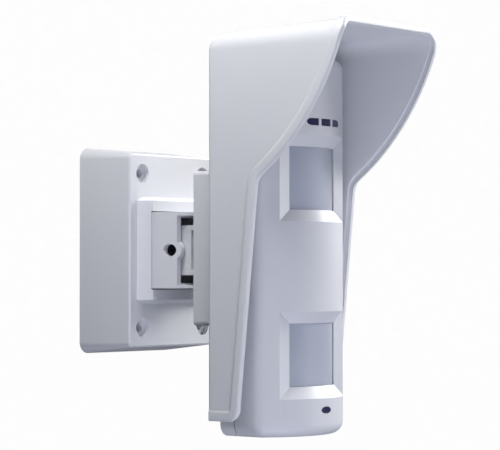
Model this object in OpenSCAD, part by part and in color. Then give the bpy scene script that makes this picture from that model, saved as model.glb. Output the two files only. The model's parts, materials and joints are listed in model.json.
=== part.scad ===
// Outdoor twin-window motion sensor under a rain hood, on a pan and tilt wall box.
// The wall is the plane Y = 0, the sensor looks along -Y, and +Z is up.
// "Forward" below means the distance from the wall, along -Y.

/* [Wall box] */
// Width of the box at the wall
box_w = 86.4; // [80:0.2:100]
// Height of the box at the wall
box_h = 121; // [108:0.5:150]
// Forward depth of the box
box_d = 35.6; // [34:0.2:42]
// How much each side leans in, from the wall to the front
box_taper = 3.6; // [2:0.2:4]
// Thickness of the box's walls
box_wall = 3; // [2.4:0.1:3.4]
// Distance of the wall screws in from the sides of the front
screw_edge_x = 11.6; // [9:0.2:14]
// Distance of the wall screws in from the top and bottom of the front
screw_edge_z = 11.5; // [9:0.1:14]
// Radius of the holes for the wall screws
wall_screw_r = 2.6; // [2:0.1:3]
// Thickness of the back plate
plate_t = 2.5; // [2:0.1:3]

/* [Pan drum] */
// Outer radius of the drum
drum_r = 27.6; // [25:0.2:28.4]
// Height of the drum
drum_h = 44.4; // [40:0.2:46]
// Thickness of the drum's wall
drum_wall = 3; // [2.4:0.1:3.4]
// Gap round the drum in its pocket
drum_gap = 0.7; // [0.5:0.1:1]
// Half of the angle that the drum's mouth opens over
mouth_angle = 59; // [56:1:60]
// Pan travel to each side
pan_travel = 40; // [30:1:40]

/* [Tilt joint] */
// Distance of the tilt axis in front of the pan axis
tilt_ahead = 10.2; // [8:0.2:12]
// Radius of the tilt bolt
tilt_bolt_r = 2.5; // [2:0.1:3]
// Room above and below the arm inside the drum
arm_room = 4.7; // [4.7:0.1:8]
// Half of the arm's width
arm_half_w = 18; // [14:0.5:18.5]

/* [Rear bracket] */
// Width of the bracket
bracket_w = 64; // [58:1:70]
// Top of the bracket above the tilt axis
bracket_top = 45; // [40:0.5:48]
// Bottom of the bracket below the tilt axis
bracket_bottom = 43.4; // [40:0.2:48]
// Distance of the bracket's open edge in front of the drum
bracket_ahead = 5.6; // [5:0.2:8]
// Depth of the bracket
bracket_d = 22.9; // [20:0.1:26]
// Thickness of the bracket's walls
bracket_wall = 3; // [2.4:0.1:3.6]

/* [Hood] */
// Gap between the case and each side of the hood
hood_side_gap = 6; // [4:0.1:9]
// Gap between the case and the roof, at the back
hood_top_gap = 9.7; // [6:0.1:14]
// How far the case reaches below the hood
hood_short = 9; // [4:0.5:16]
// Thickness of the hood
hood_wall = 2.5; // [2:0.1:3]
// Radius of the curved front edge of the hood's sides
rim_r = 150; // [140:1:160]
// Width of the raised band along the front edge
band_w = 5.5; // [4:0.1:7]
// Height of the raised band
band_t = 0.9; // [0.5:0.1:1.4]

/* [Detector case] */
// Width of the case
case_w = 78.6; // [76:0.2:82]
// Height of the case
case_h = 215; // [208:1:220]
// Height of the middle of the case
case_mid = 2.5; // [0:0.5:4]
// Thickness of the case's walls
case_wall = 2.4; // [2:0.1:3]
// Radius of the curved front
front_r = 50; // [48:0.5:54]
// Depth of the base, from its back to the seal
base_d = 9.2; // [8.6:0.2:12]
// Thickness of the rubber seal
seal_t = 0.8; // [0.6:0.1:1.2]
// Radius of the top and bottom edges at the front
edge_r = 8; // [7:0.5:14]

/* [Windows] */
// Width of each lens opening
win_w = 42.6; // [38:0.2:44]
// Height of each lens opening
win_h = 35.6; // [30:0.2:37]
// Distance of the upper opening below the top of the case
upper_edge = 52.1; // [48:0.1:56]
// Distance of the lower opening above the bottom of the case
lower_edge = 27.9; // [27.9:0.1:32]
// Width of the frame at each side of an opening
window_side = 9.1; // [7:0.1:10]
// Width of the slope round each window
bevel_w = 6.6; // [4:0.2:7]
// Radius that the lenses are curved to
lens_r = 45; // [40:1:60]
// Thickness of the lenses
lens_t = 1; // [0.6:0.1:1.4]
// Distance of the status window below the top of the case
status_edge = 38.25; // [34:0.25:40]
// Height of each of its three segments
status_h = 4.1; // [3:0.1:5]

/* [Circuit board] */
// Gap between the board and each side wall of the case
board_side_gap = 4.9; // [3:0.1:8]
// Gap between the board and each end wall of the case
board_end_gap = 8.1; // [6:0.1:12]
// Thickness of the board
board_t = 1.6; // [1:0.2:2]

/* [Hidden] */
$fn = 48;

eps = 0.01;         // how far a cut runs past a face
fit_gap = 0.05;     // play of a shaft in its bore
slip_gap = 0.3;     // play of a loose piece
skin_gap = 0.03;    // play between curved faces that rest on each other

// Wall box
box_taper_z = box_taper + 0.4;
box_corner_r = 7;
box_front_r = 3;
box_edge = 0.9;
front_w = box_w - 2 * box_taper;
front_h = box_h - 2 * box_taper_z;
screw_span_x = front_w - 2 * screw_edge_x;
screw_span_z = front_h - 2 * screw_edge_z;
pocket_r = drum_r + drum_gap;
pocket_half_h = drum_h / 2 + drum_gap;
boss_w = 2 * drum_r + 0.2;
boss_half_h = pocket_half_h + 6.1;
boss_ramp_x = 5.3;
boss_ramp_z = 2.3;
head_r = 5.6;
head_depth = 2.8;
post_r = 7.6;
plate_inset = 2;
plate_post_z = box_h / 2 - 10.5;
plate_post_r = 4;
plate_screw_l = 10;
cable_r = 7;
cable_z = 32;

// Pan joint
nut_room = 8;
pocket_wall = 3;
pan_forward = plate_inset + plate_t + nut_room + pocket_wall + pocket_r;
boss_forward = pan_forward - 0.4;
drum_in_r = drum_r - drum_wall;
mouth_forward = pan_forward + drum_r * cos(mouth_angle);
mouth_half_h = drum_h / 2 - drum_wall + 0.9;
pad_t = drum_gap - fit_gap;
shoe_t = 3;
shoe_front = pan_forward - drum_in_r + fit_gap + shoe_t;
shoe_dish = 0.8;
clamp_r = 2;
clamp_tail = 6.4;
slot_half_h = clamp_r + 0.4;
slot_angle = pan_travel + 7;
nut_t = 3.2;
clamp_half_angle = 22;
pocket_back = pan_forward - pocket_r;

// Tilt joint
tilt_forward = pan_forward + tilt_ahead;
drum_side = sqrt(drum_r * drum_r - tilt_ahead * tilt_ahead);
tilt_head_r = tilt_bolt_r + 0.9;
tilt_head_t = 2.4;
tilt_nut_r = tilt_bolt_r + 1.7;
tilt_nut_t = 2.4;
tilt_boss_r = tilt_nut_r + 2;
washer_t = 1;
boss_in = arm_half_w + washer_t + fit_gap;
bolt_seat = drum_side - 4.6;

// Rear bracket and arm
bracket_back = pan_forward + drum_r + bracket_ahead;
hood_back = bracket_back + bracket_d;
bracket_floor = hood_back - bracket_wall;
bracket_mid = (bracket_top - bracket_bottom) / 2;
bracket_h = bracket_top + bracket_bottom;
bracket_r = 2.6;
flange_t = 3;
arm_half_h = drum_h / 2 - drum_wall - arm_room;
flange_half_w = arm_half_w + 7;
arm_screw_x = flange_half_w - 3.4;
arm_screw_z = arm_half_h - 6.5;
mount_x = bracket_w / 2 - bracket_wall - 8;
mount_z = min(bracket_top, bracket_bottom) - bracket_wall - 9.4;
m3_r = 1.5;
pilot_r = 1.2;

// Hood
hood_w = case_w + 2 * (hood_side_gap + hood_wall);
hood_top = case_mid + case_h / 2 + hood_top_gap + hood_wall;
hood_bottom = case_h / 2 - case_mid - hood_short;
rim_forward = hood_back - 51.5;
rim_up = hood_top + 39.6;
rim_low_angle = -55;
rim_high_angle = -17;
roof_slope = 0.0356;
lip_low = hood_back + 22.1;
hood_round = 10;
back_round = 11;
lip_round = 8;
roof_tip = 5;

// Case
case_back = hood_back + hood_wall;
case_top = case_mid + case_h / 2;
case_low = case_mid - case_h / 2;
seam = case_back + base_d;
cover_back = seam + seal_t;
front_axis = case_back - 4.7;
front_most = front_axis + front_r;
side_r = 8;
case_corner_r = 7;
upper_z = case_top - upper_edge - win_h / 2;
lower_z = case_low + lower_edge + win_h / 2;
status_z = case_top - status_edge;
frame_half_w = win_w / 2 + window_side;
frame_forward = front_axis + sqrt(front_r * front_r - frame_half_w * frame_half_w);
lens_behind = 0.9;
lens_axis = frame_forward - lens_behind - sqrt(lens_r * lens_r - win_w * win_w / 4);
lens_forward = lens_axis + lens_r;
lens_over = 3.2;
lens_half_w = win_w / 2 + lens_over;
lens_half_h = win_h / 2 + 2.4;
frame_t = 2;
inlet_z = case_low + 35;
inlet_r = 5;
drain_x = 14 - case_w / 2;
catch_h = 10;
mount_post_r = 4;
board_post_r = 3.4;

// Board
board_back = case_back + 6.4;
board_front = board_back + board_t;
board_z = case_mid;
board_w = case_w - 2 * (case_wall + board_side_gap);
board_h = case_h - 2 * (case_wall + board_end_gap);
board_top = board_z + board_h / 2;
post_x = board_w / 2 - 4;
post_z = board_h / 2 - 6;
chamber_w = win_w - 2.6;
chamber_h = win_h - 0.6;
chamber_wall = 1.5;
led_h = 3.4;
status_pitch = 10.87;
alarm_z = case_low + 14.6;
alarm_w = 9.2;
alarm_h = 3.5;
status_seg_w = 8.9;
dip_x = -17;
dip_z = 0;
dip_pitch = 2.54;
dip_count = 4;
dip_travel = 1.2;
dip_h = 3.2;
dip_knob = 1.2;
dial_x = 19;
dial_z = 2;
dial_r = 3.5;
tamper_x = 22;
tamper_z = -21;
tamper_side = 8;
tamper_h = 5;
plunger_top = 6.8;
plunger_r = 1.1;
plunger_travel = 0.8;
term_z = alarm_z + 9;
term_h = 10;
term_screw_r = 2.1;
relay_x = -16;
relay_z = board_top - 13.5;
capacitor_x = 19;
capacitor_z = board_top - 15.5;
term_count = 6;
term_pitch = 6;

function arc(x, y, r, a0, a1, n = 10) =
    [for (i = [0:n]) let (a = a0 + (a1 - a0) * i / n) [x + r * cos(a), y + r * sin(a)]];

function rounded(w, h, r, n = 8) = concat(
    arc(w / 2 - r, h / 2 - r, r, 0, 90, n), arc(r - w / 2, h / 2 - r, r, 90, 180, n),
    arc(r - w / 2, r - h / 2, r, 180, 270, n), arc(w / 2 - r, r - h / 2, r, 270, 360, n));

// A shape in X and Z, thickened forward from a distance
module slab(forward, thickness, z = 0) {
    translate([0, -forward, z]) rotate([90, 0, 0]) linear_extrude(thickness) children();
}

// A side view, drawn as (forward, up), spread over a width
module side_view(width) {
    rotate([90, 0, -90]) linear_extrude(width, center = true) children();
}

// A top view, drawn as (x, forward), raised over a height
module top_view(low, high) {
    translate([0, 0, low]) linear_extrude(high - low) mirror([0, 1]) children();
}

module bore_y(x, z, r, from, to) {
    translate([x, -from, z]) rotate([90, 0, 0]) cylinder(r = r, h = to - from);
}

module bore_x(forward, z, r, from, to) {
    translate([from, -forward, z]) rotate([0, 90, 0]) cylinder(r = r, h = to - from);
}

module block(x, z, w, h, from, to) {
    translate([x - w / 2, -to, z - h / 2]) cube([w, to - from, h]);
}

// An upright cylinder on an axis at a distance from the wall
module upright(forward, r, low, high) {
    translate([0, -forward, low]) cylinder(r = r, h = high - low, $fn = 96);
}

module corners(dx, dz, z = 0) {
    for (x = [-dx / 2, dx / 2], y = [-dz / 2, dz / 2]) translate([x, 0, z + y]) children();
}

// A pan-head screw with a cross slot. Its shaft runs forward from its head's seat.
module screw_in(seat, r, length, head = 2) {
    difference() {
        bore_y(0, 0, r * head, seat - r * 1.1, seat);
        for (turn = [0, 90]) translate([0, -seat + r * 1.1, 0]) rotate([0, turn, 0])
            cube([r * 2.2, r, r * 0.5], center = true);
    }
    bore_y(0, 0, r, seat - eps, seat + length);
}

// The same screw, driven from the front towards the wall
module screw_back(seat, r, length, head = 2) {
    translate([0, -2 * seat, 0]) mirror([0, 1, 0]) screw_in(seat, r, length, head);
}

// ---- wall side ----

module box_shell(inset, from) {
    w = front_w - 2 * inset;
    h = front_h - 2 * inset;
    r = box_front_r - inset / 2;
    hull() {
        slab(from, 0.1)
            polygon(rounded(box_w - 2 * inset, box_h - 2 * inset, box_corner_r - inset));
        slab(box_d - inset - box_edge, 0.1) polygon(rounded(w, h, r));
        slab(box_d - inset - 0.1, 0.1) polygon(rounded(w - 2 * box_edge, h - 2 * box_edge, r));
    }
}

module drum_boss() {
    hull() {
        slab(box_d - 0.5, 0.5)
            square([boss_w + 2 * boss_ramp_x, 2 * boss_half_h], center = true);
        slab(box_d - 0.5, 0.5)
            square([boss_w, 2 * (boss_half_h + boss_ramp_z)], center = true);
        slab(boss_forward - 0.1, 0.1) square([boss_w, 2 * boss_half_h], center = true);
    }
}

module wall_box() {
    color("gainsboro") difference() {
        union() {
            difference() {
                box_shell(0, 0);
                box_shell(box_wall, -eps);
            }
            drum_boss();
            intersection() {
                upright(pan_forward, pocket_r + pocket_wall, -boss_half_h, boss_half_h);
                block(0, 0, box_w, box_h, 0, box_d - box_wall + eps);
            }
            corners(screw_span_x, screw_span_z) bore_y(0, 0, post_r, 0, box_d - box_wall + eps);
            corners(0, 2 * plate_post_z)
                bore_y(0, 0, plate_post_r, plate_inset + plate_t, box_d - box_wall + eps);
        }
        upright(pan_forward, pocket_r, -pocket_half_h, pocket_half_h);
        block(0, 0, 2 * pocket_r, 2 * pocket_half_h, pan_forward, boss_forward + 5);
        corners(screw_span_x, screw_span_z) {
            bore_y(0, 0, wall_screw_r, -eps, box_d + eps);
            bore_y(0, 0, head_r, box_d - head_depth, box_d + eps);
        }
        corners(0, 2 * plate_post_z) bore_y(0, 0, m3_r, plate_inset, plate_inset + plate_screw_l + 2);
        bore_y(0, 0, clamp_r + fit_gap, 0, pan_forward);
    }
}

module plate_outline(inset) {
    lean = box_taper_z * (plate_inset + plate_t) / box_d;
    margin = 2 * (box_wall + lean + slip_gap + inset);
    polygon(rounded(box_w - margin, box_h - margin, 4));
}

module wall_plate() {
    color("silver") difference() {
        slab(plate_inset, plate_t) plate_outline(0);
        corners(screw_span_x, screw_span_z)
            bore_y(0, 0, post_r + slip_gap, 0, plate_inset + plate_t + eps);
        corners(0, 2 * plate_post_z)
            bore_y(0, 0, m3_r + 0.2, 0, plate_inset + plate_t + eps);
        bore_y(0, cable_z, cable_r, 0, plate_inset + plate_t + eps);
    }
}

module wall_seal() {
    color("dimgray") difference() {
        slab(0, plate_inset) plate_outline(0);
        slab(-eps, plate_inset + 2 * eps) plate_outline(3.5);
        corners(screw_span_x, screw_span_z) bore_y(0, 0, post_r + slip_gap, -1, plate_inset + 1);
    }
}

module grommet(back, front, z, r) {
    translate([0, -back, z]) rotate([90, 0, 0]) rotate_extrude() polygon([
        [r - 3, -1.2], [r + 1.6, -1.2], [r + 1.6, 0], [r - fit_gap, 0],
        [r - fit_gap, front - back], [r + 1.6, front - back],
        [r + 0.6, front - back + 2.4], [r - 3, front - back + 2.4]]);
}

module cable_grommet() {
    color("black") grommet(plate_inset, plate_inset + plate_t, cable_z, cable_r);
}

module plate_screws() {
    color("silver") corners(0, 2 * plate_post_z)
        screw_in(plate_inset, m3_r - fit_gap, plate_screw_l, 1.6);
}

// ---- pan clamp ----

// A band of a ring round the pan axis, centred behind the axis
module ring_band(r_in, r_out, half_h, half_angle) {
    reach = r_out / cos(half_angle) + 1;
    intersection() {
        difference() {
            upright(pan_forward, r_out, -half_h, half_h);
            upright(pan_forward, r_in, -half_h - 1, half_h + 1);
        }
        top_view(-half_h, half_h) polygon([[0, pan_forward],
            [-reach * sin(half_angle), pan_forward - reach * cos(half_angle)],
            [reach * sin(half_angle), pan_forward - reach * cos(half_angle)]]);
    }
}

module pan_pad() {
    color("dimgray") difference() {
        ring_band(pocket_r - pad_t, pocket_r - skin_gap, 12, clamp_half_angle);
        bore_y(0, 0, clamp_r + fit_gap, pocket_back - 1, pocket_back + 8);
    }
}

module pan_clamp_shoe() {
    color("silver") difference() {
        ring_band(drum_in_r - fit_gap - shoe_t, drum_in_r - fit_gap, 10, clamp_half_angle);
        bore_y(0, 0, clamp_r + fit_gap, 0, shoe_front + 1);
        bore_y(0, 0, clamp_r * 2 + 0.4, shoe_front - shoe_dish, pan_forward);
    }
}

module pan_clamp_screw() {
    color("silver") screw_back(shoe_front - shoe_dish, clamp_r,
        shoe_front - shoe_dish - clamp_tail);
}

module pan_clamp_nut() {
    seat = pocket_back - pocket_wall;
    color("silver") difference() {
        bore_y(0, 0, 4, seat - nut_t, seat, $fn = 6);
        bore_y(0, 0, clamp_r + fit_gap, seat - nut_t - 1, seat + 1);
    }
}

// ---- drum ----

module swivel_drum() {
    color("gainsboro") difference() {
        union() {
            difference() {
                upright(pan_forward, drum_r, -drum_h / 2, drum_h / 2);
                upright(pan_forward, drum_in_r, drum_wall - drum_h / 2, drum_h / 2 - drum_wall);
                block(0, 0, 2 * drum_r, 2 * mouth_half_h, mouth_forward, pan_forward + drum_r + 1);
            }
            intersection() {
                upright(pan_forward, drum_r - eps, -drum_h / 2, drum_h / 2);
                for (side = [-1, 1]) bore_x(tilt_forward, 0, tilt_boss_r,
                    side > 0 ? boss_in : -drum_r, side > 0 ? drum_r : -boss_in);
            }
        }
        block(0, 0, 2 * drum_r * sin(slot_angle), 2 * slot_half_h,
            pan_forward - drum_r - 1, pan_forward - drum_in_r * cos(slot_angle));
        bore_x(tilt_forward, 0, tilt_bolt_r, -drum_r, drum_r);
        bore_x(tilt_forward, 0, tilt_head_r + 0.25, -drum_r, -bolt_seat);
        bore_x(tilt_forward, 0, tilt_nut_r + 0.2, bolt_seat, drum_r);
    }
}

module tilt_bolt() {
    color("silver") difference() {
        union() {
            bore_x(tilt_forward, 0, tilt_head_r, -bolt_seat - tilt_head_t, -bolt_seat);
            bore_x(tilt_forward, 0, tilt_bolt_r - fit_gap, -bolt_seat - eps, bolt_seat + tilt_nut_t);
        }
        bore_x(tilt_forward, 0, 1.5, -bolt_seat - tilt_head_t - eps, -bolt_seat - 1, $fn = 6);
    }
}

module tilt_nut() {
    color("silver") difference() {
        bore_x(tilt_forward, 0, tilt_nut_r, bolt_seat, bolt_seat + tilt_nut_t, $fn = 6);
        bore_x(tilt_forward, 0, tilt_bolt_r, bolt_seat - 1, drum_r);
    }
}

module tilt_washers() {
    color("dimgray") for (side = [-1, 1]) difference() {
        bore_x(tilt_forward, 0, tilt_boss_r - 0.5, side * boss_in - (side > 0 ? washer_t : 0),
            side * boss_in + (side > 0 ? 0 : washer_t));
        bore_x(tilt_forward, 0, tilt_bolt_r, -drum_r, drum_r);
    }
}

// ---- arm and bracket ----

module tilt_arm() {
    color("gainsboro") difference() {
        union() {
            bore_x(tilt_forward, 0, arm_half_h, -arm_half_w, arm_half_w, $fn = 96);
            block(0, 0, 2 * arm_half_w, 2 * arm_half_h, tilt_forward, bracket_floor);
            block(0, 0, 2 * flange_half_w, 2 * arm_half_h, bracket_floor - flange_t, bracket_floor);
        }
        bore_x(tilt_forward, 0, tilt_bolt_r, -drum_r, drum_r);
        for (side = [-1, 1]) block(side * arm_half_w, 0, 8, 2 * arm_half_h - 6,
            tilt_forward + 10, bracket_floor - flange_t - 2);
        corners(2 * arm_screw_x, 2 * arm_screw_z)
            bore_y(0, 0, m3_r, bracket_floor - flange_t - 1, bracket_floor + 1);
    }
}

module arm_screws() {
    color("silver") corners(2 * arm_screw_x, 2 * arm_screw_z)
        screw_in(bracket_floor - flange_t, m3_r - fit_gap, flange_t + bracket_wall - 0.2, 1.8);
}

module bracket_outline(inset) {
    translate([0, bracket_mid])
        polygon(rounded(bracket_w - 2 * inset, bracket_h - 2 * inset, bracket_r - inset / 2));
}

module rear_bracket() {
    color("gainsboro") difference() {
        slab(bracket_back, hood_back - bracket_back) bracket_outline(0);
        slab(bracket_back - 1, bracket_floor - bracket_back + 1) bracket_outline(bracket_wall);
        corners(2 * mount_x, 2 * mount_z) bore_y(0, 0, m3_r + 0.2, bracket_floor - 1, hood_back + 1);
        corners(2 * arm_screw_x, 2 * arm_screw_z)
            bore_y(0, 0, m3_r, bracket_floor - 1, hood_back + 1);
    }
}

module bracket_screws() {
    color("silver") corners(2 * mount_x, 2 * mount_z)
        screw_in(bracket_floor, m3_r - fit_gap, bracket_wall + hood_wall + 5, 1.8);
}

// ---- hood ----

function roof_at(forward) = hood_top + roof_slope * (forward - hood_back - back_round);
rim_kink = [rim_forward + rim_r * cos(rim_low_angle), rim_up + rim_r * sin(rim_low_angle)];
rim_top = rim_forward + rim_r * cos(rim_high_angle);
tip_forward = rim_top - roof_tip - 3.2;
tip_up = roof_at(rim_top) - roof_tip - 0.2;

// The front edge of the hood's sides, from the bottom up
function rim(back = 0) = concat(
    arc(lip_low - lip_round - back, lip_round - hood_bottom, lip_round, -90, 5, 8),
    [[rim_kink[0] - 2 - back, rim_kink[1] - 3]],
    arc(rim_forward, rim_up, rim_r - back, rim_low_angle, rim_high_angle, 20));

// The rounded outline across the hood, carried along the slope of the roof
module hood_tunnel(grow) {
    half = hood_w / 2 + grow;
    r = hood_round + grow;
    tilt = atan(roof_slope);
    translate([0, -hood_back - back_round, hood_top + grow]) rotate([-tilt, 0, 0])
        translate([0, 60, 0]) rotate([90, 0, 0]) linear_extrude(260)
            polygon(concat(arc(half - r, -r, r, 0, 90, 8), arc(r - half, -r, r, 90, 180, 8),
                [[-half, -300], [half, -300]]));
}

module hood() {
    color("gainsboro") difference() {
        union() {
            intersection() {
                hood_tunnel(0);
                side_view(hood_w) polygon(concat([[hood_back, -hood_bottom]], rim(),
                    arc(tip_forward, tip_up, roof_tip, 0, 90, 5),
                    arc(hood_back + back_round, hood_top - back_round, back_round, 90, 180, 8)));
            }
            intersection() {
                hood_tunnel(band_t);
                side_view(hood_w + 2 * band_t) polygon(concat(rim(),
                    arc(tip_forward, tip_up + band_t, roof_tip, 0, 90, 5),
                    [[rim_top - roof_tip - band_w, roof_at(rim_top) + band_t]],
                    [for (i = [0:20]) let (a = rim_high_angle + (rim_low_angle - rim_high_angle)
                        * i / 20, r = rim_r - band_w)
                        [rim_forward + r * cos(a), rim_up + r * sin(a)]],
                    [[lip_low - band_w - 0.5, lip_round - hood_bottom]]));
            }
        }
        intersection() {
            hood_tunnel(-hood_wall);
            side_view(hood_w - 2 * hood_wall) polygon(concat(
                [[hood_back + hood_wall, -hood_bottom - 50], [300, -hood_bottom - 50], [300, 300],
                    [hood_back + back_round, 300]],
                arc(hood_back + back_round, hood_top - back_round, back_round - hood_wall, 90, 180, 8)));
        }
        corners(2 * mount_x, 2 * mount_z) bore_y(0, 0, m3_r + 0.2, hood_back - 1, case_back + 1);
        bore_y(0, inlet_z, inlet_r + 1.6 + slip_gap, hood_back - 1, case_back + 1);
    }
}

// ---- detector case ----

module case_plan(inset, back) {
    half = case_w / 2 - inset;
    cx = case_w / 2 - side_r;
    cy = front_axis + sqrt(pow(front_r - side_r, 2) - cx * cx);
    turn = atan2(cy - front_axis, cx);
    polygon(concat([[-half, back], [half, back]],
        arc(cx, cy, side_r - inset, 0, turn, 5),
        arc(0, front_axis, front_r - inset, turn, 180 - turn, 32),
        arc(-cx, cy, side_r - inset, 180 - turn, 180, 5)));
}

module case_side(inset, back) {
    r = edge_r - inset;
    f = front_most + 0.5 - inset;
    polygon(concat([[back, case_low + inset]],
        arc(f - r, case_low + edge_r, r, -90, 0, 8), arc(f - r, case_top - edge_r, r, 0, 90, 8),
        [[back, case_top - inset]]));
}

module case_solid(inset, back) {
    intersection() {
        top_view(case_low, case_top) case_plan(inset, back);
        side_view(case_w) case_side(inset, back);
        slab(back, 60, case_mid)
            polygon(rounded(case_w - 2 * inset, case_h - 2 * inset, case_corner_r - inset));
    }
}

module base_case() {
    color("gainsboro") difference() {
        intersection() {
            case_solid(0, case_back);
            block(0, case_mid, case_w, case_h, case_back, seam);
        }
        difference() {
            case_solid(case_wall, case_back + case_wall);
            corners(2 * mount_x, 2 * mount_z) bore_y(0, 0, mount_post_r, case_back, board_back);
            corners(2 * post_x, 2 * post_z, board_z) bore_y(0, 0, board_post_r, case_back, board_back);
        }
        corners(2 * mount_x, 2 * mount_z) bore_y(0, 0, m3_r, case_back - 1, case_back + 6);
        corners(2 * post_x, 2 * post_z, board_z)
            bore_y(0, 0, pilot_r, case_back + 1.5, board_back + 1);
        bore_y(0, inlet_z, inlet_r, case_back - 1, case_back + case_wall + 1);
        block(drain_x, case_low + 1, 5, 4, case_back - 1, case_back + 1.2);
    }
}

module base_grommet() {
    color("black") grommet(case_back, case_back + case_wall, inlet_z, inlet_r);
}

module case_seal() {
    color("dimgray") difference() {
        intersection() {
            case_solid(0.4, seam);
            block(0, case_mid, case_w, case_h, seam, cover_back);
        }
        case_solid(case_wall - 0.4, seam - 1);
    }
}

// The slope that leads in to a window, and the opening itself
module window_cut(z) {
    difference() {
        hull() {
            block(0, z, 2 * frame_half_w, win_h, frame_forward, frame_forward + 0.1);
            block(0, z, 2 * frame_half_w, win_h + 2 * bevel_w, front_most + 0.6, front_most + 1);
        }
        upright(lens_axis, lens_r + lens_behind, z - win_h, z + win_h);
    }
    block(0, z, win_w, win_h, lens_forward - 12, front_most);
}

module lens_seat(z) {
    difference() {
        union() {
            block(0, z, 2 * lens_half_w + 6, 2 * lens_half_h + 3,
                lens_forward - 14, lens_forward + 1);
            block(0, z, 2 * frame_half_w + 2, win_h + 2 * bevel_w + 4,
                frame_forward - case_wall, front_most);
        }
        upright(lens_axis, lens_r + skin_gap, z - win_h, z + win_h);
    }
}

module status_cut(grow, from, to) {
    h = status_h + grow;
    w = status_seg_w + grow;
    end_x = status_pitch + w / 2 - h * 0.9;
    slab(from, to - from, status_z) {
        square([w, h], center = true);
        for (side = [-1, 1]) polygon([for (a = [-90:15:90])
            [side * (end_x + h * 0.9 * cos(a)), h / 2 * sin(a)]]);
        for (side = [-1, 1]) translate([side * (status_pitch - w / 2 + end_x) / 2, 0])
            square([end_x - status_pitch + w / 2 + eps, h], center = true);
    }
}

module front_cover() {
    post_back = board_front + plunger_top + slip_gap;
    color("whitesmoke") difference() {
        union() {
            difference() {
                intersection() {
                    case_solid(0, case_back);
                    block(0, case_mid, case_w, case_h, cover_back, front_most + 1);
                }
                case_solid(case_wall, case_back);
            }
            intersection() {
                case_solid(0.5, case_back);
                union() {
                    lens_seat(upper_z);
                    lens_seat(lower_z);
                    bore_y(tamper_x, tamper_z, 2.5, post_back, front_most);
                    block(0, case_low + catch_h / 2, 14, catch_h, cover_back, cover_back + 9);
                }
            }
        }
        window_cut(upper_z);
        window_cut(lower_z);
        status_cut(0, front_most - 12, front_most + 1);
        alarm_slot(0, front_most - 8, front_most + 1);
        bore_y(0, case_low + catch_h / 2, pilot_r, cover_back - 1, cover_back + 7);
    }
}

module cover_screw() {
    color("dimgray")
        bore_y(0, case_low + catch_h / 2, pilot_r - fit_gap, cover_back + 0.5, cover_back + 6);
}

// ---- windows and light path ----

module lens(z) {
    intersection() {
        difference() {
            upright(lens_axis, lens_r, z - lens_half_h, z + lens_half_h);
            upright(lens_axis, lens_r - lens_t, z - lens_half_h - 1, z + lens_half_h + 1);
        }
        block(0, z, 2 * lens_half_w, 2 * lens_half_h, lens_axis, front_most);
    }
}

module lens_frame(z) {
    outer = lens_r - lens_t - skin_gap;
    difference() {
        intersection() {
            difference() {
                upright(lens_axis, outer, z - lens_half_h, z + lens_half_h);
                upright(lens_axis, outer - frame_t, z - lens_half_h - 1, z + lens_half_h + 1);
            }
            block(0, z, 2 * lens_half_w, 2 * lens_half_h, lens_axis, front_most);
        }
        block(0, z, win_w - 1, win_h - 1, lens_axis, front_most);
    }
}

module upper_lens() { color("lightsteelblue") lens(upper_z); }
module lower_lens() { color("lightsteelblue") lens(lower_z); }
module upper_lens_frame() { color("dimgray") lens_frame(upper_z); }
module lower_lens_frame() { color("dimgray") lens_frame(lower_z); }

module status_window() {
    back_r = front_r - case_wall;
    color("darkslateblue") union() {
        intersection() {
            difference() {
                upright(front_axis, front_r - 0.3, status_z - 5, status_z + 5);
                upright(front_axis, back_r - 1.2, status_z - 6, status_z + 6);
            }
            union() {
                status_cut(-0.1, front_most - 12, front_most + 1);
                intersection() {
                    upright(front_axis, back_r - skin_gap, status_z - 4, status_z + 4);
                    block(0, status_z, 34, 8, front_axis, front_most);
                }
            }
        }
    }
}

// The small oval window under the lower lens
module alarm_slot(grow, from, to) {
    slab(from, to - from, alarm_z)
        polygon(rounded(alarm_w + grow, alarm_h + grow, (alarm_h + grow) / 2 - eps));
}

module alarm_window() {
    back_r = front_r - case_wall;
    color("darkslateblue") difference() {
        intersection() {
            upright(front_axis, front_r - 0.3, alarm_z - 4, alarm_z + 4);
            union() {
                alarm_slot(-0.1, front_most - 8, front_most + 1);
                intersection() {
                    upright(front_axis, back_r - skin_gap, alarm_z - 4, alarm_z + 4);
                    block(0, alarm_z, alarm_w + 3, alarm_h + 2.4, front_axis, front_most);
                }
            }
        }
        upright(front_axis, back_r - 1.2, alarm_z - 5, alarm_z + 5);
    }
}

module alarm_led() {
    color("salmon") union() {
        block(0, alarm_z, 3.4, 3.4, board_front, board_front + 1);
        bore_y(0, alarm_z, 1.5, board_front + 1 - eps, front_most - case_wall - 1.6);
    }
}

module light_guide() {
    color("white") intersection() {
        upright(front_axis, front_r - case_wall - 1.2 - skin_gap, status_z - 5, status_z + 5);
        union() {
            for (i = [-1:1])
                block(i * status_pitch, status_z, 5, 3, board_front + led_h, front_most);
            block(0, status_z, 2 * status_pitch + 5, 3, board_front + led_h + 6,
                board_front + led_h + 8);
        }
    }
}

module status_leds() {
    color("lightgreen") for (i = [-1:1])
        block(i * status_pitch, status_z, 3, 2.6, board_front, board_front + led_h);
}

// ---- electronics ----

module circuit_board() {
    color("seagreen") difference() {
        slab(board_back, board_t, board_z) polygon(rounded(board_w, board_h, 3, 4));
        corners(2 * post_x, 2 * post_z, board_z) bore_y(0, 0, 1.4, board_back - 1, board_front + 1);
    }
}

module board_screws() {
    color("silver") corners(2 * post_x, 2 * post_z, board_z)
        screw_back(board_front, pilot_r - fit_gap, board_t + 4.4, 2);
}

module pyro(z) {
    bore_y(0, z, 4.6, board_front, board_front + 0.6);
    difference() {
        bore_y(0, z, 4.1, board_front + 0.5, board_front + 4.2);
        block(0, z, 4, 3, board_front + 3.9, board_front + 5);
    }
}

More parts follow.
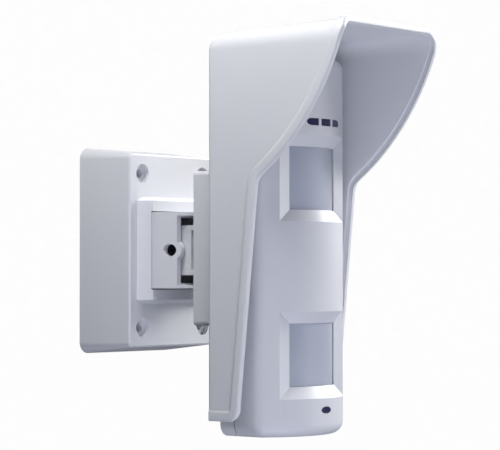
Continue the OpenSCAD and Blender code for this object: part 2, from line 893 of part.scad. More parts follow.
module chamber(z) {
    difference() {
        intersection() {
            block(0, z, chamber_w, chamber_h, board_front, front_most);
            upright(lens_axis, lens_r - lens_t - frame_t - 2 * skin_gap, z - chamber_h, z + chamber_h);
        }
        block(0, z, chamber_w - 2 * chamber_wall, chamber_h - 2 * chamber_wall,
            board_front + chamber_wall, front_most);
        bore_y(0, z, 4.9, board_front - 1, board_front + 5);
    }
}

module upper_pyro_sensor() { color("silver") pyro(upper_z); }
module lower_pyro_sensor() { color("silver") pyro(lower_z); }
module upper_optic_chamber() { color("darkslategray") chamber(upper_z); }
module lower_optic_chamber() { color("darkslategray") chamber(lower_z); }

module terminal_block() {
    color("seagreen") difference() {
        block(0, term_z, term_count * term_pitch, 9, board_front, board_front + term_h);
        for (i = [0:term_count - 1]) {
            x = (i - (term_count - 1) / 2) * term_pitch;
            bore_y(x, term_z + 1, term_screw_r + 0.1, board_front + 6, board_front + term_h + 1);
            block(x, term_z - 4, 4, 3, board_front + 1, board_front + 5);
        }
    }
}

module terminal_screws() {
    color("silver") for (i = [0:term_count - 1]) difference() {
        x = (i - (term_count - 1) / 2) * term_pitch;
        bore_y(x, term_z + 1, term_screw_r, board_front + 6, board_front + 9);
        block(x, term_z + 1, 5, 0.7, board_front + 8, board_front + term_h);
    }
}

module alarm_relay() {
    color("royalblue") block(relay_x, relay_z, 16, 19, board_front, board_front + 10);
}

module processor_chip() {
    color("black") block(2, 5, 10, 10, board_front, board_front + 1.6);
}

module capacitors() {
    color("navy") for (side = [-5, 5])
        bore_y(capacitor_x + side, capacitor_z, 4, board_front, board_front + 11);
}

module dip_switch() {
    color("firebrick") difference() {
        block(dip_x, dip_z, 7, dip_count * dip_pitch + 2, board_front, board_front + dip_h);
        for (i = [0:dip_count - 1])
            block(dip_x, dip_z + (i - (dip_count - 1) / 2) * dip_pitch,
                dip_knob + dip_travel + 2 * slip_gap, dip_knob + 2 * slip_gap,
                board_front + dip_h - 2, board_front + dip_h + 1);
    }
}

module dip_slider(i) {
    if (i <= dip_count) color("white")
        block(dip_x - dip_travel / 2, dip_z + (i - 1 - (dip_count - 1) / 2) * dip_pitch,
            dip_knob, dip_knob, board_front + dip_h - 2 + fit_gap, board_front + dip_h + 0.5);
}

module dip_slider_1() { dip_slider(1); }
module dip_slider_2() { dip_slider(2); }
module dip_slider_3() { dip_slider(3); }
module dip_slider_4() { dip_slider(4); }

module range_dial_base() {
    color("midnightblue") difference() {
        block(dial_x, dial_z, 10, 10, board_front, board_front + 5);
        bore_y(dial_x, dial_z, dial_r + fit_gap, board_front + 2, board_front + 6);
    }
}

module range_dial() {
    color("white") difference() {
        bore_y(dial_x, dial_z, dial_r, board_front + 2 + fit_gap, board_front + 6);
        block(dial_x, dial_z, 5, 0.9, board_front + 5, board_front + 7);
    }
}

module tamper_switch() {
    color("black") difference() {
        block(tamper_x, tamper_z, tamper_side, tamper_side, board_front, board_front + tamper_h);
        bore_y(tamper_x, tamper_z, plunger_r + fit_gap, board_front + 1, board_front + 6);
    }
}

module tamper_plunger() {
    color("white") bore_y(tamper_x, tamper_z, plunger_r,
        board_front + 1 + plunger_travel + fit_gap, board_front + plunger_top);
}

wall_box();
wall_plate();
wall_seal();
cable_grommet();
plate_screws();
pan_pad();
pan_clamp_shoe();
pan_clamp_screw();
pan_clamp_nut();
swivel_drum();
tilt_bolt();
tilt_nut();
tilt_washers();
tilt_arm();
arm_screws();
rear_bracket();
bracket_screws();
hood();
base_case();
base_grommet();
case_seal();
front_cover();
cover_screw();
upper_lens();
lower_lens();
upper_lens_frame();
lower_lens_frame();
status_window();
light_guide();
status_leds();
alarm_window();
alarm_led();
circuit_board();
board_screws();
upper_pyro_sensor();
lower_pyro_sensor();
upper_optic_chamber();
lower_optic_chamber();
terminal_block();
terminal_screws();
alarm_relay();
processor_chip();
capacitors();
dip_switch();
dip_slider_1();
dip_slider_2();
dip_slider_3();
dip_slider_4();
range_dial_base();
range_dial();
tamper_switch();
tamper_plunger();
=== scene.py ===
import json
import math

import bmesh
import bpy
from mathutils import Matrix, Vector


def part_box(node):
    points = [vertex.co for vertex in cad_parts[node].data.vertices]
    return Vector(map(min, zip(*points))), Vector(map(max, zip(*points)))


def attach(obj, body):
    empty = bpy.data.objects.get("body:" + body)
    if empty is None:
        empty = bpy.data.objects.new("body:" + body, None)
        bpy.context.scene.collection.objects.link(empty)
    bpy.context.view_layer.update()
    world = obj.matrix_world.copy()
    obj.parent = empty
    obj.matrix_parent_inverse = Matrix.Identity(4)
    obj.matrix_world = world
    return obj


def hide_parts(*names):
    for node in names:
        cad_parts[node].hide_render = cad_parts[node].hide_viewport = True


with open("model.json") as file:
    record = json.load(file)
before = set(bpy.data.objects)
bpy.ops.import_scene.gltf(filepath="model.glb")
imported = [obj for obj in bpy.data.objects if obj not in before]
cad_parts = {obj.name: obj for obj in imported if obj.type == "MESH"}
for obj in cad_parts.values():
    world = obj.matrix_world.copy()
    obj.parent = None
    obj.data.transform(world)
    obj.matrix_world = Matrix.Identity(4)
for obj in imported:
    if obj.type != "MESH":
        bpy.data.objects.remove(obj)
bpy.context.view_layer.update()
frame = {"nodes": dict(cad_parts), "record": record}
scene = bpy.context.scene
mm = 0.001
print("frame loaded:", len(frame["nodes"]), "nodes")


# Degrees round from the front and upwards, metres from the origin, and the lens in mm
camera = dict(turn=52.5, distance=1.354, aside=0.074, height=-0.0145, rise=1.283, lens=161.35)
studio = dict(floorDrop=0.6, floorSize=40, white="fbfbfc", dome=14, worldGrey="c9ccd2", worldLight=0.045)
# Watts of each round lamp, its diameter and place in metres, and its tint where it is not white
lamps = dict(
    rightSide=dict(place=(1.2, -0.3, 0.6), size=0.8, watts=20.5),
    rightFront=dict(place=(1.0, -0.8, 0.5), size=0.5, watts=8),
    leftFront=dict(place=(-1.2, -0.9, 0.5), size=0.9, watts=3.6, tint="e8ecfb"),
    aboveLeft=dict(place=(-0.22, -0.12, 0.42), size=0.2, watts=1.9),
    fromBelow=dict(place=(-0.3, -0.6, -0.55), size=0.8, watts=4.8, tint="e8ecfb"),
    lowRight=dict(place=(0.5, -0.9, -0.3), size=0.4, watts=1.3),
)


def linear(hexColour):
    parts = [int(hexColour[i:i + 2], 16) / 255 for i in (0, 2, 4)]
    return tuple(p / 12.92 if p <= 0.04045 else ((p + 0.055) / 1.055) ** 2.4 for p in parts) + (1,)


def addNode(tree, kind, settings=None, links=None):
    node = tree.nodes.new(kind)
    for name, value in (settings or {}).items():
        if name in node.inputs:
            node.inputs[name].default_value = value
        else:
            setattr(node, name, value)
    for name, source in (links or {}).items():
        tree.links.new(source, node.inputs[name])
    return node


def makeCamera():
    turn = math.radians(camera["turn"])
    ahead = Vector((math.sin(turn), math.cos(turn), 0))
    right = Vector((math.cos(turn), -math.sin(turn), 0))
    data = bpy.data.cameras.new("viewCamera")
    data.lens = camera["lens"]
    data.sensor_width = 36
    data.clip_end = 60
    holder = bpy.data.objects.new("viewCamera", data)
    holder.location = right * camera["aside"] - ahead * camera["distance"] + Vector((0, 0, camera["height"]))
    holder.rotation_euler = (math.radians(90 + camera["rise"]), 0, -turn)
    scene.collection.objects.link(holder)
    scene.camera = holder


def makeLamp(name, place, size, watts, tint="ffffff"):
    data = bpy.data.lights.new(name, "AREA")
    data.shape = "DISK"
    data.size = size
    data.energy = watts
    data.color = linear(tint)[:3]
    holder = bpy.data.objects.new(name, data)
    holder.location = place
    aim = Vector((0, -0.1, 0)) - Vector(place)
    holder.rotation_euler = aim.to_track_quat("-Z", "Y").to_euler()
    scene.collection.objects.link(holder)


def makeStage():
    half = studio["floorSize"] / 2
    bm = bmesh.new()
    bmesh.ops.create_grid(bm, x_segments=1, y_segments=1, size=half)
    floor = meshPiece("floor", bm)
    floor.location.z = -studio["floorDrop"]
    paper = bpy.data.materials.new("whitePaper")
    paper.use_nodes = True
    tree = paper.node_tree
    tree.nodes.clear()
    fibre = addNode(tree, "ShaderNodeTexNoise", {"Scale": 400.0})
    tone = addNode(tree, "ShaderNodeMapRange", {"To Min": 0.97, "To Max": 1.0},
                   {"Value": fibre.outputs["Fac"]})
    glow = addNode(tree, "ShaderNodeEmission", {"Strength": 1.0}, {"Color": tone.outputs["Result"]})
    out = addNode(tree, "ShaderNodeOutputMaterial", links={"Surface": glow.outputs["Emission"]})
    out.is_active_output = True
    floor.data.materials.append(paper)

    bm = bmesh.new()
    bmesh.ops.create_icosphere(bm, subdivisions=4, radius=studio["dome"])
    dome = meshPiece("backdrop", bm)
    dome.data.materials.append(paper)
    for seen in ("visible_diffuse", "visible_glossy", "visible_transmission", "visible_shadow"):
        setattr(dome, seen, False)
        setattr(floor, seen, False)

    world = bpy.data.worlds.new("softRoom")
    scene.world = world
    world.use_nodes = True
    world.node_tree.nodes["Background"].inputs["Color"].default_value = linear(studio["worldGrey"])
    world.node_tree.nodes["Background"].inputs["Strength"].default_value = studio["worldLight"]
    scene.view_settings.view_transform = "Standard"


def meshPiece(name, bm):
    bmesh.ops.recalc_face_normals(bm, faces=bm.faces)
    data = bpy.data.meshes.new(name)
    bm.to_mesh(data)
    bm.free()
    piece = bpy.data.objects.new(name, data)
    scene.collection.objects.link(piece)
    return piece


def arc(x, y, r, start, end, steps):
    angles = [math.radians(start + (end - start) * i / steps) for i in range(steps + 1)]
    return [(x + r * math.cos(a), y + r * math.sin(a)) for a in angles]


def loft(bm, rings, caps=(True, True)):
    layers = [[bm.verts.new(p) for p in ring] for ring in rings]
    count = len(rings[0])
    for low, high in zip(layers, layers[1:]):
        for i in range(count):
            bm.faces.new((low[i], low[(i + 1) % count], high[(i + 1) % count], high[i]))
    if caps[0]:
        bm.faces.new(layers[0])
    if caps[1]:
        bm.faces.new(layers[-1])
    return layers


def solid(name, rings):
    bm = bmesh.new()
    loft(bm, rings)
    return meshPiece(name, bm)


def cylinderAlong(name, axis, centre, r, low, high, steps=48):
    ends = []
    for place in (low, high):
        ring = []
        for a, b in arc(0, 0, r, 0, 360 - 360 / steps, steps - 1):
            if axis == "x":
                ring.append((place, centre[0] + a, centre[1] + b))
            elif axis == "y":
                ring.append((centre[0] + a, place, centre[1] + b))
            else:
                ring.append((centre[0] + a, centre[1] + b, place))
        ends.append(ring)
    return solid(name, ends)


def applyAll(piece):
    with bpy.context.temp_override(object=piece, active_object=piece, selected_objects=[piece]):
        for modifier in list(piece.modifiers):
            bpy.ops.object.modifier_apply(modifier=modifier.name)


def combine(piece, others, operation):
    for other in others:
        modifier = piece.modifiers.new(operation, "BOOLEAN")
        modifier.object = other
        modifier.operation = operation
        modifier.solver = "EXACT"
    applyAll(piece)
    for other in others:
        bpy.data.objects.remove(other)
    return piece


def softenEdges(piece, width, angle=32, segments=3):
    bevel = piece.modifiers.new("softEdge", "BEVEL")
    bevel.width = width
    bevel.segments = segments
    bevel.limit_method = "ANGLE"
    bevel.angle_limit = math.radians(angle)
    bevel.miter_outer = "MITER_ARC"
    bevel.use_clamp_overlap = True
    shadeByAngle(piece)


def shadeByAngle(piece, angle=34):
    data = piece.data
    data.shade_smooth()
    cosLimit = math.cos(math.radians(angle))
    bm = bmesh.new()
    bm.from_mesh(data)
    for edge in bm.edges:
        faces = edge.link_faces
        edge.smooth = len(faces) == 2 and faces[0].normal.dot(faces[1].normal) > cosLimit
    bm.to_mesh(data)
    bm.free()


def finished(piece, node, material):
    piece.data.materials.clear()
    piece.data.materials.append(material)
    for face in piece.data.polygons:
        face.material_index = 0
    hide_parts(node)
    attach(piece, bodyOf[node])
    return piece


record = frame["record"]
bodyOf = {node: body for body, nodes in record["behaviour"]["bodies"].items() for node in nodes}
slotOf = {entry["node"]: entry["material_slot"] for entry in record["subparts"]}


def refined(node, material, width=0.25 * mm, angle=32):
    source = frame["nodes"][node]
    bm = bmesh.new()
    bm.from_mesh(source.data)
    bmesh.ops.remove_doubles(bm, verts=bm.verts, dist=0.002 * mm)
    bmesh.ops.dissolve_limit(bm, angle_limit=math.radians(0.6), verts=bm.verts, edges=bm.edges)
    piece = meshPiece(node + "Shape", bm)
    softenEdges(piece, width, angle)
    return finished(piece, node, material)


makeCamera()
for lampName, lampFacts in lamps.items():
    makeLamp(lampName, **lampFacts)
makeStage()
print("camera, lamps and stage ready")


def newMaterial(name):
    material = bpy.data.materials.new(name)
    material.use_nodes = True
    tree = material.node_tree
    tree.nodes.clear()
    shader = addNode(tree, "ShaderNodeBsdfPrincipled")
    addNode(tree, "ShaderNodeOutputMaterial", links={"Surface": shader.outputs["BSDF"]})
    place = addNode(tree, "ShaderNodeTexCoord").outputs["Object"]
    return material, tree, shader, place


def setShader(shader, **values):
    for name, value in values.items():
        shader.inputs[name.replace("_", " ")].default_value = value


def perMetre(sizeInMm):
    return 1000 / sizeInMm


def mouldedPlastic(name, hexColour, darker, roughness=0.42, grainMm=0.45, depthMm=0.012, flowMm=38):
    # Moulded thermoplastic: an even satin skin with fine spark-eroded grain, and faint broad flow shading
    material, tree, shader, place = newMaterial(name)
    flow = addNode(tree, "ShaderNodeTexNoise", {"Scale": perMetre(flowMm), "Detail": 3.0}, {"Vector": place})
    tone = addNode(tree, "ShaderNodeMix", {"data_type": "RGBA"})
    tone.inputs["A"].default_value = linear(darker)
    tone.inputs["B"].default_value = linear(hexColour)
    tree.links.new(flow.outputs["Fac"], tone.inputs["Factor"])
    tree.links.new(tone.outputs["Result"], shader.inputs["Base Color"])
    # Real spark grain is about 0.1 mm, too fine to show, so it is drawn as coarse as it needs to be
    grain = addNode(tree, "ShaderNodeTexNoise", {"Scale": perMetre(grainMm), "Detail": 4.0},
                    {"Vector": place})
    bump = addNode(tree, "ShaderNodeBump", {"Strength": 0.35, "Distance": depthMm * mm},
                   {"Height": grain.outputs["Fac"]})
    tree.links.new(bump.outputs["Normal"], shader.inputs["Normal"])
    sheen = addNode(tree, "ShaderNodeMapRange", {"To Min": roughness - 0.04, "To Max": roughness + 0.05},
                    {"Value": flow.outputs["Fac"]})
    tree.links.new(sheen.outputs["Result"], shader.inputs["Roughness"])
    setShader(shader, IOR=1.53)
    return material


def lensFilm():
    # High-density polyethylene, pressed thin: milky, cool grey, with fine Fresnel rings pressed inside
    material, tree, shader, place = newMaterial("milkyPolyethylene")
    rings = addNode(tree, "ShaderNodeTexWave", {"wave_type": "RINGS", "rings_direction": "Y",
                    "Scale": perMetre(1.1) / 6.28, "Distortion": 0.0}, {"Vector": place})
    bump = addNode(tree, "ShaderNodeBump", {"Strength": 0.12, "Distance": 0.03 * mm},
                   {"Height": rings.outputs["Fac"]})
    tree.links.new(bump.outputs["Normal"], shader.inputs["Normal"])
    cloud = addNode(tree, "ShaderNodeTexNoise", {"Scale": perMetre(25)}, {"Vector": place})
    tone = addNode(tree, "ShaderNodeMix", {"data_type": "RGBA"}, {"Factor": cloud.outputs["Fac"]})
    tone.inputs["A"].default_value = linear("a4a9b8")
    tone.inputs["B"].default_value = linear("b2b7c4")
    tree.links.new(tone.outputs["Result"], shader.inputs["Base Color"])
    setShader(shader, IOR=1.54, Roughness=0.33)
    shader.inputs["Subsurface Weight"].default_value = 0.25
    shader.inputs["Subsurface Radius"].default_value = (0.003, 0.003, 0.004)
    return material


def smokedAcrylic():
    # Smoked acrylic: nearly black with a violet cast and a hard gloss
    material, tree, shader, place = newMaterial("smokedAcrylic")
    haze = addNode(tree, "ShaderNodeTexNoise", {"Scale": perMetre(6)}, {"Vector": place})
    tone = addNode(tree, "ShaderNodeMix", {"data_type": "RGBA"}, {"Factor": haze.outputs["Fac"]})
    tone.inputs["A"].default_value = linear("2f2f4c")
    tone.inputs["B"].default_value = linear("3a3a58")
    tree.links.new(tone.outputs["Result"], shader.inputs["Base Color"])
    setShader(shader, IOR=1.49, Roughness=0.16)
    return material


def platedSteel(name="zincPlatedSteel", hexColour="b9bab4", roughness=0.34, brushMm=0.25):
    # Zinc plate over turned or pressed steel: cool grey metal, clouded, with faint tool lines
    material, tree, shader, place = newMaterial(name)
    cloud = addNode(tree, "ShaderNodeTexNoise", {"Scale": perMetre(3), "Detail": 5.0}, {"Vector": place})
    lines = addNode(tree, "ShaderNodeTexWave", {"Scale": perMetre(brushMm) / 6.28, "Distortion": 2.5},
                    {"Vector": place})
    rough = addNode(tree, "ShaderNodeMapRange", {"To Min": roughness - 0.08, "To Max": roughness + 0.12},
                    {"Value": cloud.outputs["Fac"]})
    bump = addNode(tree, "ShaderNodeBump", {"Strength": 0.15, "Distance": 0.01 * mm},
                   {"Height": lines.outputs["Fac"]})
    tree.links.new(rough.outputs["Result"], shader.inputs["Roughness"])
    tree.links.new(bump.outputs["Normal"], shader.inputs["Normal"])
    shader.inputs["Base Color"].default_value = linear(hexColour)
    setShader(shader, Metallic=1.0)
    return material


def solderMask():
    # Fibreglass board under green solder mask: glossy, with paler copper tracks showing through
    material, tree, shader, place = newMaterial("solderMaskBoard")
    tracks = addNode(tree, "ShaderNodeTexBrick", {"Scale": perMetre(9), "Mortar Size": 0.06,
                     "Color1": linear("0f5a34"), "Color2": linear("11613a"), "Mortar": linear("1f7d4c")})
    turned = addNode(tree, "ShaderNodeMapping", {"Rotation": (math.radians(90), 0, 0)}, {"Vector": place})
    tree.links.new(turned.outputs["Vector"], tracks.inputs["Vector"])
    tree.links.new(tracks.outputs["Color"], shader.inputs["Base Color"])
    bump = addNode(tree, "ShaderNodeBump", {"Strength": 0.4, "Distance": 0.035 * mm},
                   {"Height": tracks.outputs["Fac"]})
    tree.links.new(bump.outputs["Normal"], shader.inputs["Normal"])
    setShader(shader, IOR=1.5, Roughness=0.28)
    return material


def clearGuide():
    # Clear acrylic rod that carries the lamps' light to the front
    material, tree, shader, place = newMaterial("clearAcrylic")
    haze = addNode(tree, "ShaderNodeTexNoise", {"Scale": perMetre(2)}, {"Vector": place})
    rough = addNode(tree, "ShaderNodeMapRange", {"To Min": 0.04, "To Max": 0.12},
                    {"Value": haze.outputs["Fac"]})
    tree.links.new(rough.outputs["Result"], shader.inputs["Roughness"])
    shader.inputs["Base Color"].default_value = linear("f2f6f8")
    setShader(shader, IOR=1.49)
    shader.inputs["Transmission Weight"].default_value = 0.9
    return material


finishes = dict(
    light_abs=mouldedPlastic("satinAbsCasing", "dcdde1", "d7d8dd"),
    grey_abs=mouldedPlastic("satinAbsCover", "d3d4da", "cecfd6"),
    black_plastic=mouldedPlastic("blackAbs", "17171a", "121214", 0.5),
    rubber_seal=mouldedPlastic("siliconeRubber", "2a2a2d", "232326", 0.7, 0.8),
    friction_pad=mouldedPlastic("darkNylon", "303034", "29292c", 0.55),
    zinc_steel=platedSteel(),
    lens_film=lensFilm(),
    smoked_window=smokedAcrylic(),
    clear_guide=clearGuide(),
    led_green=mouldedPlastic("greenEpoxy", "6fbf78", "63b26c", 0.15, 2, 0.002),
    led_red=mouldedPlastic("redEpoxy", "c94436", "b83a2e", 0.15, 2, 0.002),
    board_green=solderMask(),
    sensor_can=platedSteel("nickelPlatedSteel", "c8c3b6", 0.22),
    terminal_green=mouldedPlastic("greenPolyamide", "2f7a49", "2a7042"),
    relay_blue=mouldedPlastic("bluePbt", "27478c", "223f7e", 0.35),
    capacitor_sleeve=mouldedPlastic("shrinkSleeve", "191d33", "15182b", 0.3),
    switch_red=mouldedPlastic("redPbt", "a3241f", "931f1b", 0.4),
    white_plastic=mouldedPlastic("whiteAcetal", "e4e3dd", "dddcd5", 0.38),
    dial_blue=mouldedPlastic("blueAcetal", "223a7a", "1e346e", 0.4),
)
print("finishes ready:", len(finishes))


# Rain hood. Its edge is walked along the bottom, round the toe, up the side, over the roof and down again
hood = dict(wall=2.5, sideRound=10, backRound=11, cornerRound=2.2, bandWidth=5.6, bandRise=0.9,
            lipDepth=3.2, lipStep=0.9, rimRadius=150, rimBehindBack=51.5, rimAboveRoof=39.6,
            kinkAngle=-55, kinkEase=4, topAngle=-17, lipAhead=22.1, toeRound=8, slope=0.0356, fade=30)


def sideEdge(back, foot, crown):
    # The side's edge as (forward, up, inward forward, inward up), from the toe to the top of the curve
    midOut, midUp = back - hood["rimBehindBack"], crown + hood["rimAboveRoof"]
    radius = hood["rimRadius"]

    def onArc(degrees):
        turn = math.radians(degrees)
        cos, sin = math.cos(turn), math.sin(turn)
        return midOut + radius * cos, midUp + radius * sin, -cos, -sin

    r = hood["toeRound"]
    toe = back + hood["lipAhead"] - r
    edge = []
    for degrees in range(-90, 7, 12):
        turn = math.radians(degrees)
        cos, sin = math.cos(turn), math.sin(turn)
        edge.append((toe + r * cos, foot + r + r * sin, -cos, -sin))
    start = edge[-1][:2]
    kink = onArc(hood["kinkAngle"])[:2]
    span = math.dist(start, kink)
    alongOut, alongUp = (kink[0] - start[0]) / span, (kink[1] - start[1]) / span
    for i in range(1, 7):
        reach = (span - hood["kinkEase"]) * i / 6
        edge.append((start[0] + alongOut * reach, start[1] + alongUp * reach, -alongUp, alongOut))
    ease = math.degrees(hood["kinkEase"] / radius)
    corners = edge[-1][:2], kink, onArc(hood["kinkAngle"] + ease)[:2]
    for i in range(1, 8):
        t = i / 8
        spot = [(1 - t) ** 2 * a + 2 * t * (1 - t) * b + t * t * c for a, b, c in zip(*corners)]
        lean = [(1 - t) * (b - a) + t * (c - b) for a, b, c in zip(*corners)]
        size = math.hypot(*lean)
        edge.append((spot[0], spot[1], -lean[1] / size, lean[0] / size))
    first = hood["kinkAngle"] + ease
    edge += [onArc(first + (hood["topAngle"] - first) * i / 22) for i in range(23)]
    return edge, onArc


def hoodShape():
    lowCorner, highCorner = (Vector(v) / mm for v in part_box("hood"))
    half = highCorner.x - hood["bandRise"]
    back, foot, reach = -highCorner.y, lowCorner.z, -lowCorner.y
    crown = highCorner.z - hood["bandRise"] - hood["slope"] * (reach - back - hood["backRound"] - 3)
    shoulder = crown - hood["sideRound"]
    edge, onArc = sideEdge(back, foot, crown)
    bandReach = hood["bandWidth"] + 1.1
    tipOut, tipUp = onArc(hood["topAngle"])[:2]
    midUp = crown + hood["rimAboveRoof"]

    # Each station: across, height at the back, turn of the surface, edge point, inward direction,
    # and 1 where the band is raised or 0 where it is flat
    toe = edge[0][0]
    girth = [(half, foot, 0, toe, foot, -1, 0, 0)]
    for out, up, inOut, inUp in edge:
        if up >= shoulder - 0.5:
            break
        share = (up - foot) / (shoulder - foot)
        backUp = foot + bandReach + (shoulder - foot - bandReach) * share
        level = min((shoulder - up) / hood["fade"], 1)
        if inOut < -0.8:
            inUp *= level
            inOut = -math.sqrt(1 - inUp ** 2)
        girth.append((half, backUp, 0, out, up, inOut, inUp, 1))
    for degrees in range(0, 91, 9):
        lift = math.sin(math.radians(degrees))
        up = shoulder + hood["sideRound"] * lift
        if up < tipUp:
            out = back - hood["rimBehindBack"] + math.sqrt(hood["rimRadius"] ** 2 - (midUp - up) ** 2)
        else:
            out = tipOut - 4.5 * ((up - tipUp) / (crown + 3 - tipUp)) ** 2.2
        girth.append((half - hood["sideRound"] * (1 - math.cos(math.radians(degrees))), up, degrees,
                      out, up, -1, 0, 1))
    crownOut = girth[-1][3]
    girth += [(half * share, crown, 90, crownOut, crown, -1, 0, 1) for share in (0.6, 0.4, 0.2, 0)]
    girth += [(-station[0], station[1], 180 - station[2]) + station[3:] for station in reversed(girth[:-1])]

    def sheet(inset, profile, size):
        columns = []
        for x, backUp, degrees, out, up, inOut, inUp, raised in girth:
            turn = math.radians(degrees)
            lift = math.sin(turn)
            r = max(hood["cornerRound"] + (hood["backRound"] - hood["cornerRound"]) * lift ** 2 - inset, 0.6)

            def point(forward, height, off):
                rise = hood["slope"] * max(forward - back - hood["backRound"], 0) * lift
                return (x - math.cos(turn) * off) * mm, -forward * mm, (height - lift * off + rise) * mm

            column = []
            for step in range(9):
                t = math.radians(step * 90 / 8)
                ahead, sunk = r * (1 - math.cos(t)), r * (1 - math.sin(t))
                column.append(point(back + inset + ahead, backUp, inset + sunk))
            startOut = back + inset + r
            lastOut, lastUp = out + inOut * profile[0][0], up + inUp * profile[0][0]
            for share in (0.04, 0.3, 0.6, 0.9):
                reached = startOut + (lastOut - startOut) * share
                column.append(point(reached, backUp + (lastUp - backUp) * share, inset))
            for distance, amount in profile:
                depth = inset - size * amount * raised
                column.append(point(out + inOut * distance, up + inUp * distance, depth))
            columns.append(column)
        return columns

    width, depth = hood["bandWidth"], hood["lipDepth"]
    band = [(bandReach, 0), (width + 0.4, 0.1), (width, 0.6), (width - 0.6, 0.95), (width - 1.2, 1),
            (1.1, 1), (0.5, 0.85), (0.12, 0.4), (0, 0)]
    lip = [(depth + 0.6, 0), (depth + 0.2, 0.1), (depth, 0.6), (depth - 0.2, 0.95), (depth - 0.5, 1),
           (0.9, 1), (0.5, 0.97), (0.15, 0.8), (0, 0.5)]
    bm = bmesh.new()

    def addSheet(columns):
        verts = [[bm.verts.new(p) for p in column] for column in columns]
        for left, right in zip(verts, verts[1:]):
            for i in range(len(left) - 1):
                bm.faces.new((left[i], left[i + 1], right[i + 1], right[i]))
        bm.faces.new([column[0] for column in verts])
        return verts

    def closeBetween(outLine, inLine):
        for i in range(len(outLine) - 1):
            bm.faces.new((outLine[i], inLine[i], inLine[i + 1], outLine[i + 1]))

    outer = addSheet(sheet(0, band, hood["bandRise"]))
    inner = addSheet(sheet(hood["wall"], lip, hood["lipStep"]))
    closeBetween([c[-1] for c in outer], [c[-1] for c in inner])
    for side in (0, -1):
        closeBetween(outer[side], inner[side])
    bm.faces.new((outer[0][0], outer[-1][0], inner[-1][0], inner[0][0]))
    bmesh.ops.remove_doubles(bm, verts=bm.verts, dist=0.01 * mm)
    shell = meshPiece("hoodShell", bm)

    # The band goes on along the bottom edge of each side, as far as the back
    bars = []
    for side in (-1, 1):
        rings = []
        for out in (back + 1.4, toe + 0.2):
            ring = [(side * (half + hood["bandRise"] * amount), -out, foot + distance)
                    for distance, amount in band]
            ring += [(side * (half - 1), -out, foot), (side * (half - 1), -out, foot + bandReach)]
            rings.append([(x * mm, y * mm, z * mm) for x, y, z in ring])
        bars.append(solid("cut", rings))
    return combine(shell, bars, "UNION")


shell = hoodShape()
holes = []
for x in (-21, 21):
    for z in (-31, 31):
        holes.append(cylinderAlong("cut", "y", (x * mm, z * mm), 1.7 * mm, -0.104, -0.098, 24))
inletLow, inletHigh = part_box("base_grommet")
inletUp = (inletLow[2] + inletHigh[2]) / 2
holes.append(cylinderAlong("cut", "y", (0, inletUp), 6.9 * mm, -0.104, -0.098, 36))
combine(shell, holes, "DIFFERENCE")
shadeByAngle(shell, 40)
finished(shell, "hood", finishes["light_abs"])
print("hood shaped")

# Front cover: one outline carried up the height, rounded over at both ends, with two framed windows
case = dict(halfWidth=39.3, sideRound=9.5, endRound=7, frontRadius=50, axisAhead=-4.7, wall=2.4,
            frameHalf=30.4, openHalf=21.3, openRise=17.8, slope=6.6, openingDepth=3.2, softEdge=0.35)
status = dict(pitch=10.87, width=8.9, height=4.1)
alarm = dict(width=9.2, height=4.1)
lensSheet = dict(radius=45, half=20.75, rise=18.6, thick=1, inset=0.9)


def middle(node):
    low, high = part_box(node)
    return [(a + b) / 2 / mm for a, b in zip(low, high)]


windowUps = [middle(node)[2] for node in ("lower_lens", "upper_lens")]
caseBack = -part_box("base_case")[1][1] / mm
caseAxis = caseBack + case["axisAhead"]
frameOut = caseAxis + math.sqrt(case["frontRadius"] ** 2 - case["frameHalf"] ** 2)


def caseOutline(inset, back):
    r = case["sideRound"]
    midX = case["halfWidth"] - r
    midOut = caseAxis + math.sqrt((case["frontRadius"] - r) ** 2 - midX ** 2)
    turn = math.degrees(math.atan2(midOut - caseAxis, midX))
    frameTurn = math.degrees(math.acos(case["frameHalf"] / case["frontRadius"]))
    side = [(case["halfWidth"] - inset, back + (midOut - back) * i / 4) for i in range(4)]
    side += arc(midX, midOut, max(r - inset, 0.5), 0, turn, 8)
    side += arc(0, caseAxis, case["frontRadius"] - inset, turn, frameTurn, 3)[1:]
    front = arc(0, caseAxis, case["frontRadius"] - inset, frameTurn, 180 - frameTurn, 24)[1:-1]
    return side + front + [(-x, out) for x, out in reversed(side)], len(side) - 1


def caseSkin(bm, inset):
    low, high = (v[2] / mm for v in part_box("front_cover"))
    back = -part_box("front_cover")[1][1] / mm
    low, high, r = low + inset, high - inset, case["endRound"] - inset
    outer = case["openRise"] + case["slope"]
    ups = []
    for middleUp in windowUps:
        ups += [middleUp + outer * share for share in (-1, -0.66, -0.33, 0, 0.33, 0.66, 1)]
    rows = [(low + r * (1 - math.cos(math.radians(a))), r * (1 - math.sin(math.radians(a))))
            for a in range(0, 91, 10)]
    rows += [(up, 0) for up in ups]
    rows += [(high - r * (1 - math.cos(math.radians(a))), r * (1 - math.sin(math.radians(a))))
             for a in range(90, -1, -10)]
    grid = []
    for up, drop in rows:
        outline, edgeIndex = caseOutline(inset + drop, back)
        grid.append([bm.verts.new((x * mm, -out * mm, up * mm)) for x, out in outline])
    count = len(grid[0])
    windows = [(10, 16), (17, 23)]
    left, right = edgeIndex, count - 1 - edgeIndex
    for j in range(len(grid) - 1):
        for i in range(count - 1):
            if left <= i < right and any(a <= j < b for a, b in windows):
                continue
            bm.faces.new((grid[j][i], grid[j][i + 1], grid[j + 1][i + 1], grid[j + 1][i]))
    bm.faces.new(grid[0])
    bm.faces.new(grid[-1])
    loops = []
    for a, b in windows:
        loop = [grid[a][i] for i in range(left, right)] + [grid[j][right] for j in range(a, b)]
        loop += [grid[b][i] for i in range(right, left, -1)] + [grid[j][left] for j in range(b, a, -1)]
        loops.append(loop)
    seam = [row[0] for row in grid] + [row[-1] for row in reversed(grid)]
    return loops, seam


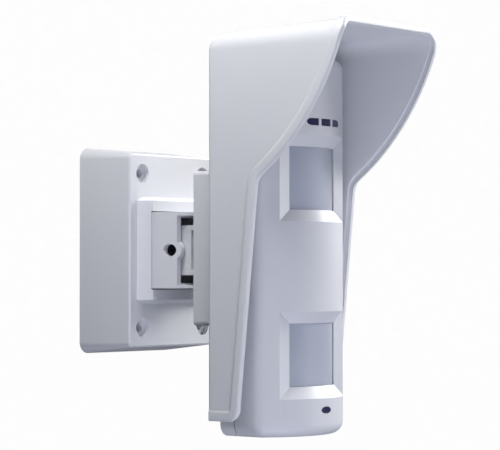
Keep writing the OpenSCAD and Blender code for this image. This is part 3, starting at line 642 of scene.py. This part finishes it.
def bridge(bm, first, second):
    for i in range(len(first)):
        n = (i + 1) % len(first)
        bm.faces.new((first[i], first[n], second[n], second[i]))


lensAxis = frameOut - lensSheet["inset"] - math.sqrt(lensSheet["radius"] ** 2 - case["openHalf"] ** 2)


def lensOut(x):
    return lensAxis + math.sqrt(lensSheet["radius"] ** 2 - x * x)


def pill(width, height, midX, leftRound, rightRound):
    # A flat shape with either end rounded, as (across, up)
    points = []
    for side, isRound in ((1, rightRound), (-1, leftRound)):
        if isRound:
            deep = height * 0.9
            points += [(midX + side * (width / 2 - deep + deep * math.cos(math.radians(a))),
                        side * height / 2 * math.sin(math.radians(a))) for a in range(-90, 91, 15)]
        else:
            end = midX + side * width / 2
            points += [(end, -side * height / 2), (end, side * height / 2)]
    return points


def coverShape():
    bm = bmesh.new()
    outerLoops, outerSeam = caseSkin(bm, 0)
    innerLoops, innerSeam = caseSkin(bm, case["wall"])
    bridge(bm, outerSeam, innerSeam)
    for middleUp, outerLoop, innerLoop in zip(windowUps, outerLoops, innerLoops):
        narrow = case["openHalf"] / case["frameHalf"]
        lower = case["openRise"] / (case["openRise"] + case["slope"])
        opening = []
        for depth in (0, case["openingDepth"]):
            ring = []
            for vert in outerLoop:
                up = middleUp * mm + (vert.co.z - middleUp * mm) * lower
                bow = lensOut(vert.co.x / mm * narrow) + lensSheet["inset"] - depth
                ring.append(bm.verts.new((vert.co.x * narrow, -bow * mm, up)))
            opening.append(ring)
        bridge(bm, outerLoop, opening[0])
        bridge(bm, opening[0], opening[1])
        bridge(bm, opening[1], innerLoop)
    cover = meshPiece("frontCoverShell", bm)
    statusUp, alarmUp = (middle(node)[2] for node in ("status_window", "alarm_window"))
    pitch, width, height = status["pitch"], status["width"], status["height"]
    slots = [(pill(width, height, 0, False, False), statusUp),
             (pill(width, height, -pitch, True, False), statusUp),
             (pill(width, height, pitch, False, True), statusUp)]
    oval = [(alarm["width"] / 2 * math.cos(math.radians(a)), alarm["height"] / 2 * math.sin(math.radians(a)))
            for a in range(0, 360, 10)]
    slots.append((oval, alarmUp))
    cutters = []
    for outline, up in slots:
        rings = [[(x * mm, -out * mm, (up + z) * mm) for x, z in outline]
                 for out in (frameOut - 3, frameOut + 12)]
        cutters.append(solid("cut", rings))
    return combine(cover, cutters, "DIFFERENCE")


def lensShape(name, middleUp):
    spread = math.degrees(math.asin(lensSheet["half"] / lensSheet["radius"]))
    front = arc(0, lensAxis, lensSheet["radius"], 90 - spread, 90 + spread, 28)
    behind = arc(0, lensAxis, lensSheet["radius"] - lensSheet["thick"], 90 + spread, 90 - spread, 28)
    rings = []
    for up in (middleUp - lensSheet["rise"], middleUp + lensSheet["rise"]):
        rings.append([(x * mm, -o * mm, up * mm) for x, o in front + behind])
    return solid(name, rings)


cover = coverShape()
softenEdges(cover, case["softEdge"] * mm, 30, 2)
finished(cover, "front_cover", finishes["grey_abs"])
for node, middleUp in zip(("lower_lens", "upper_lens"), windowUps):
    lens = lensShape(node + "Sheet", middleUp)
    softenEdges(lens, 0.15 * mm, 50, 2)
    finished(lens, node, finishes["lens_film"])
print("cover and lenses shaped")

ownShapes = ("hood", "front_cover", "upper_lens", "lower_lens")

# Softened edge width in mm, and a finish of its own: the tilt bolt is made near black with a dull metal
# sheen, painted shade so its recess reads as a dark open hole
edgeWidths = dict(wall_box=0.6, tilt_arm=0.5, base_case=0.8)
ownFinishes = dict(tilt_bolt=platedSteel("darkBoltPaintedShade", "26262a", 0.4))
for node in frame["nodes"]:
    if node not in ownShapes:
        refined(node, ownFinishes.get(node, finishes[slotOf[node]]), edgeWidths.get(node, 0.25) * mm)
print("other pieces refined")

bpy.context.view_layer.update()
